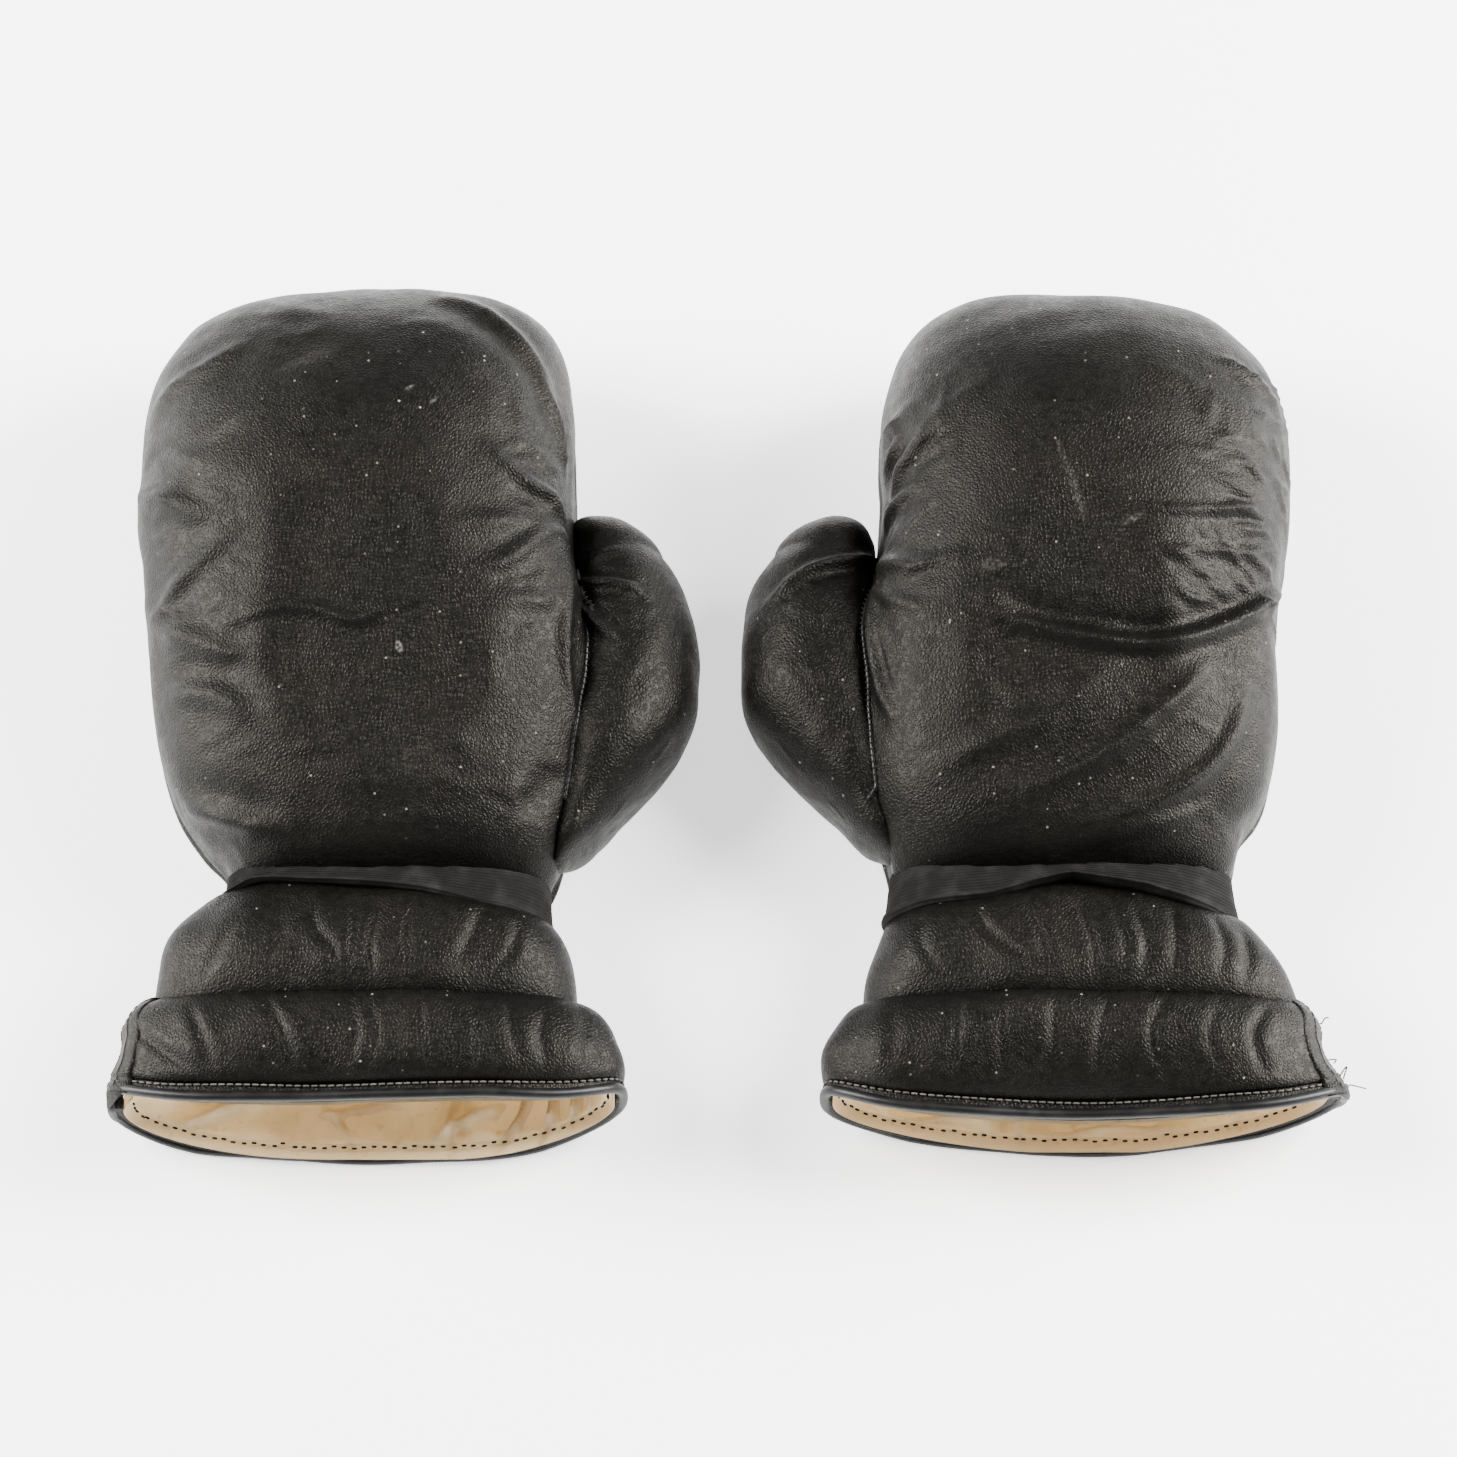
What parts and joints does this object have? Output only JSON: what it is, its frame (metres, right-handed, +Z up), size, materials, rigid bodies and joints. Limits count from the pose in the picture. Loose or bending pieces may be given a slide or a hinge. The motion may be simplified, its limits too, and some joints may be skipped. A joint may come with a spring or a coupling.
{
  "type": "boxing glove pair",
  "caption": "Pair of vintage padded leather pull-on boxing gloves with sewn-on thumbs, elastic wrist straps and quilted flared cuffs, lying palm down.",
  "frame": {"origin": "on the floor, under the middle of the pair's box", "axes": "+X across the pair from the left-hand glove to the right-hand glove, +Y towards the fingertips, +Z up from the palms to the backs"},
  "size_m": [0.384, 0.2849, 0.09],
  "materials": {
    "black_leather": "worn satin black leather with fine grain and creases",
    "piping_leather": "smooth black leather binding",
    "elastic": "ribbed black woven elastic",
    "lining": "tan lining, darker inside, with dark stitch dots",
    "padding": "hidden felted padding",
    "thread": "pale waxed stitching thread"
  },
  "bodies": {
    "left_fingers": {"left_finger_back_leather": "black_leather", "left_finger_palm_leather": "black_leather", "left_finger_padding": "padding", "left_finger_lining": "lining"},
    "left_mitt": {"left_mitt_back_leather": "black_leather", "left_mitt_palm_leather": "black_leather", "left_mitt_back_padding": "padding", "left_mitt_palm_padding": "padding", "left_hand_lining": "lining", "left_wrist_strap": "elastic", "left_thumb_welt": "piping_leather"},
    "left_thumb": {"left_thumb_back_leather": "black_leather", "left_thumb_palm_leather": "black_leather", "left_thumb_padding": "padding", "left_thumb_lining": "lining"},
    "left_cuff": {"left_cuff_back_leather": "black_leather", "left_cuff_palm_leather": "black_leather", "left_upper_roll_padding": "padding", "left_lower_roll_padding": "padding", "left_cuff_lining": "lining", "left_side_seam_strip": "piping_leather", "left_mouth_piping": "piping_leather"},
    "right_fingers": {"right_finger_back_leather": "black_leather", "right_finger_palm_leather": "black_leather", "right_finger_padding": "padding", "right_finger_lining": "lining"},
    "right_mitt": {"right_mitt_back_leather": "black_leather", "right_mitt_palm_leather": "black_leather", "right_mitt_back_padding": "padding", "right_mitt_palm_padding": "padding", "right_hand_lining": "lining", "right_wrist_strap": "elastic", "right_thumb_welt": "piping_leather"},
    "right_thumb": {"right_thumb_back_leather": "black_leather", "right_thumb_palm_leather": "black_leather", "right_thumb_padding": "padding", "right_thumb_lining": "lining"},
    "right_cuff": {"right_cuff_back_leather": "black_leather", "right_cuff_palm_leather": "black_leather", "right_upper_roll_padding": "padding", "right_lower_roll_padding": "padding", "right_cuff_lining": "lining", "right_side_seam_strip": "piping_leather", "right_mouth_piping": "piping_leather"}
  },
  "joints": [
    {"name": "left_knuckle_curl", "type": "hinge", "parent": "left_fingers", "child": "left_mitt", "pos_m": [-0.113, 0.032, 0.025], "axis": [1, 0, 0], "range_deg": [0, 15], "stiffness_Nm_per_rad": 2},
    {"name": "left_wrist_bend", "type": "hinge", "parent": "left_mitt", "child": "left_cuff", "pos_m": [-0.113, -0.074, 0.034], "axis": [-1, 0, 0], "range_deg": [0, 18], "stiffness_Nm_per_rad": 1.5},
    {"name": "left_thumb_bend", "type": "hinge", "parent": "left_mitt", "child": "left_thumb", "pos_m": [-0.045, 0, 0.03], "axis": [0, -1, 0], "range_deg": [-8, 20], "stiffness_Nm_per_rad": 0.8},
    {"name": "right_knuckle_curl", "type": "hinge", "parent": "right_fingers", "child": "right_mitt", "pos_m": [0.113, 0.032, 0.025], "axis": [1, 0, 0], "range_deg": [0, 15], "stiffness_Nm_per_rad": 2},
    {"name": "right_wrist_bend", "type": "hinge", "parent": "right_mitt", "child": "right_cuff", "pos_m": [0.113, -0.074, 0.034], "axis": [-1, 0, 0], "range_deg": [0, 18], "stiffness_Nm_per_rad": 1.5},
    {"name": "right_thumb_bend", "type": "hinge", "parent": "right_mitt", "child": "right_thumb", "pos_m": [0.045, 0, 0.03], "axis": [0, 1, 0], "range_deg": [-8, 20], "stiffness_Nm_per_rad": 0.8},
    {"name": "pair_spread", "type": "slide", "parent": "left_fingers", "child": "right_fingers", "axis": [1, 0, 0], "range_m": [0, 0.2]}
  ]
}
